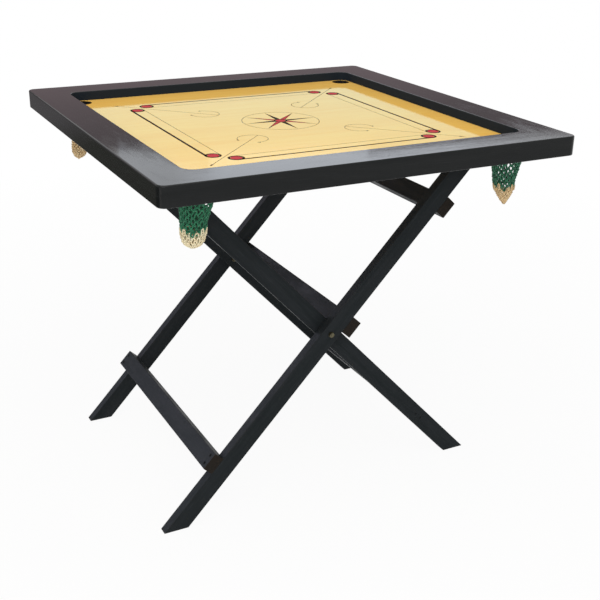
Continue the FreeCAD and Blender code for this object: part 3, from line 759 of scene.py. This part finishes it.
def sheet(name, corners, material):
    """A flat four-cornered sheet of the studio."""
    mesh = bpy.data.meshes.new(name)
    mesh.from_pydata(corners, [], [(0, 1, 2, 3)])
    mesh.materials.append(material)
    thing = bpy.data.objects.new(name, mesh)
    scene.collection.objects.link(thing)
    return thing


def light_group(name, pieces):
    """A set of pieces that one lamp lights on its own."""
    group = bpy.data.collections.new(name)
    for piece in pieces:
        group.objects.link(piece)
    return group


def soft_lamp(name, location, target, size, radiance, colour, only=None):
    """A rectangular lamp that the camera does not see. only: the light group that it lights."""
    data = bpy.data.lights.new(name, "AREA")
    data.shape = "RECTANGLE"
    data.size, data.size_y = size
    data.color = colour
    data.energy = radiance * math.pi * size[0] * size[1]
    lamp = bpy.data.objects.new(name, data)
    lamp.location = location
    lamp.rotation_euler = (Vector(target) - Vector(location)).to_track_quat("-Z", "Y").to_euler()
    lamp.visible_camera = False
    scene.collection.objects.link(lamp)
    if only is not None:
        lamp.light_linking.receiver_collection = only
    return lamp


FLOOR_REACH = 14.0
sheet("studio_floor", [(-FLOOR_REACH, -FLOOR_REACH, 0), (FLOOR_REACH, -FLOOR_REACH, 0),
                       (FLOOR_REACH, FLOOR_REACH, 0), (-FLOOR_REACH, FLOOR_REACH, 0)],
      stage_material("studio_floor_white", rgb(0.90, 0.90, 0.90), rgb(1, 1, 1), 0.94))

lit_stand = light_group("lit_stand", [node for name, node in nodes.items()
                                      if name.endswith(("_rail", "leg_near", "leg_far"))])
lit_rails = light_group("lit_frame_rails",
                        [nodes["frame_rail_" + side] for side in ("near", "far", "left", "right")])
lit_surface = light_group("lit_playing_surface", [nodes["playing_panel"]] + printed)

BACK_Y = 3.0                                   # behind the board
BOX_LEFT, BOX_RIGHT, BOX_TALL = 0.50, 3.75, 1.6                 # the softbox that the frame rails show
FOOT_X, FOOT_Z, BOX_SLOPE = 0.65, 1.635, 0.064                  # its lower edge rises to the right
box_middle = (BOX_LEFT + BOX_RIGHT) / 2
box_height = FOOT_Z + (box_middle - FOOT_X) * BOX_SLOPE + BOX_TALL / 2

soft_lamp("key_overhead", location=(-0.6, -1.0, 3.6), target=(0, 0, board_top), size=(3.4, 3.4),
          radiance=2.02, colour=(1.0, 0.985, 0.96))
soft_lamp("fill_front", location=(-2.2, -3.4, 1.6), target=(0, 0, 0.5), size=(2.6, 2.2),
          radiance=2.0, colour=(0.98, 0.99, 1.0))
rim = soft_lamp("back_softbox", location=(box_middle, BACK_Y - 0.02, box_height),
                target=(box_middle, 0, box_height), size=(BOX_RIGHT - BOX_LEFT, BOX_TALL),
                radiance=2.0, colour=(0.89, 0.98, 1.13), only=lit_rails)
rim.rotation_euler.rotate_axis("Z", -math.atan(BOX_SLOPE))
soft_lamp("back_softbox_stand", location=(-1.45, 1.9, 1.15), target=(-0.3, 0, 0.2), size=(1.3, 1.0),
          radiance=6.2, colour=(0.92, 0.88, 1.11), only=lit_stand)
soft_lamp("back_softbox_panel", location=(1.6, BACK_Y - 0.05, 1.2), target=(1.6, 0, 1.2), size=(6.4, 1.25),
          radiance=0.96, colour=(0.25, 0.97, 1.0), only=lit_surface)

# the cloth of the back softbox is dimmer towards both ends: places along x with their brightness
cloth = ((0.80, 0.28), (1.10, 0.62), (2.45, 0.56), (3.60, 0.09))
rim.data.use_nodes = True
lamp_nodes = rim.data.node_tree
fade = lamp_nodes.nodes.new("ShaderNodeValToRGB")
stops = fade.color_ramp.elements
while len(stops) > 1:
    stops.remove(stops[0])
for k, (x, level) in enumerate(cloth):
    share = (BOX_RIGHT - x) / (BOX_RIGHT - BOX_LEFT)
    stop = stops[0] if k == 0 else stops.new(share)
    stop.position = share
    stop.color = rgb(level, level, level)
place = lamp_nodes.nodes.new("ShaderNodeNewGeometry")
split = lamp_nodes.nodes.new("ShaderNodeSeparateXYZ")
lamp_nodes.links.new(place.outputs["Parametric"], split.inputs[0])
lamp_nodes.links.new(split.outputs["X"], fade.inputs[0])
lamp_nodes.links.new(fade.outputs[0], lamp_nodes.nodes["Emission"].inputs["Color"])


# ---------------------------------------------------------------- cards that only gloss shows, world
def card(side, corners, colour, upper_colour=None, low=0.0, high=1.0):
    """A dim part of the studio that only gloss shows. It turns to upper_colour from height low to high."""
    g = material_graph("flag_" + side + "_dim")
    if upper_colour is not None:
        height = g.add("SeparateXYZ", Vector=g.object_place()).outputs["Z"]
        colour = g.mix(g.ramp(height, low, high), colour, upper_colour)
    g.add("OutputMaterial", Surface=g.add("Emission", Color=colour, Strength=1.0).outputs[0])
    thing = sheet("studio_flag_" + side, corners, g.owner)
    for kind in ("camera", "diffuse", "transmission", "shadow"):
        setattr(thing, "visible_" + kind, False)


CARD_Y = BACK_Y - 0.035                        # in front of the back softbox
LEFT_Y = 1.8                                   # of the left card, which the floor card runs up to
DIM = rgb(0.27, 0.225, 0.24)
card("back", [(-2.0, BACK_Y, 0.3), (6.0, BACK_Y, 0.3), (6.0, BACK_Y, 2.00), (-2.0, BACK_Y, 1.49)],
     rgb(0.40, 0.315, 0.335), upper_colour=DIM, low=1.25, high=1.65)
card("corner", [(0.58, CARD_Y, 1.55), (1.05, CARD_Y, 1.55), (1.05, CARD_Y, 1.7515), (0.58, CARD_Y, 1.6373)],
     DIM)
card("right", [(2.05, CARD_Y, 1.55), (3.75, CARD_Y, 1.55), (3.75, CARD_Y, 1.832), (2.05, CARD_Y, 1.80)], DIM)
card("left", [(-3.6, LEFT_Y, 0.0), (-0.55, LEFT_Y, 0.0), (-0.55, LEFT_Y, 1.1), (-3.6, LEFT_Y, 1.1)],
     rgb(0.11, 0.11, 0.095), upper_colour=rgb(0.25, 0.235, 0.245), low=0.31, high=0.43)
card("floor", [(-3.6, -0.5, 0.004), (-0.55, -0.5, 0.004), (-0.55, LEFT_Y, 0.004), (-3.6, LEFT_Y, 0.004)],
     rgb(0.12, 0.12, 0.105))

# the world is white where it is seen, and lights the scene more dimly
scene.world = bpy.data.worlds.new("studio_world")
g = Graph(scene.world)
background = g.add("Background", Color=rgb(1, 1, 1), Strength=g.ramp(g.seen(), 0.0, 1.0, 0.42, 1.0))
g.add("OutputWorld", Surface=background.outputs[0])

# ---------------------------------------------------------------- camera
camera_aim, camera_distance = Vector((0.0429, -0.0226, 0.3578)), 2.3897
azimuth, elevation, roll = math.radians(27.809), math.radians(22.638), math.radians(1.036)
forward = Vector((math.sin(azimuth) * math.cos(elevation), math.cos(azimuth) * math.cos(elevation),
                  -math.sin(elevation)))
level_right = Vector((math.cos(azimuth), -math.sin(azimuth), 0.0))
level_up = level_right.cross(forward)
right = level_right * math.cos(roll) + level_up * math.sin(roll)
up = right.cross(forward)
turned = Matrix((right, up, -forward)).transposed().to_4x4()

camera_data = bpy.data.cameras.new("camera")
camera_data.lens, camera_data.sensor_width = 60.76, 36.0
camera_data.clip_start, camera_data.clip_end = 0.05, 100.0
camera = bpy.data.objects.new("camera", camera_data)
camera.matrix_world = Matrix.Translation(camera_aim - forward * camera_distance) @ turned
scene.collection.objects.link(camera)
scene.camera = camera
scene.view_settings.view_transform = "Standard"
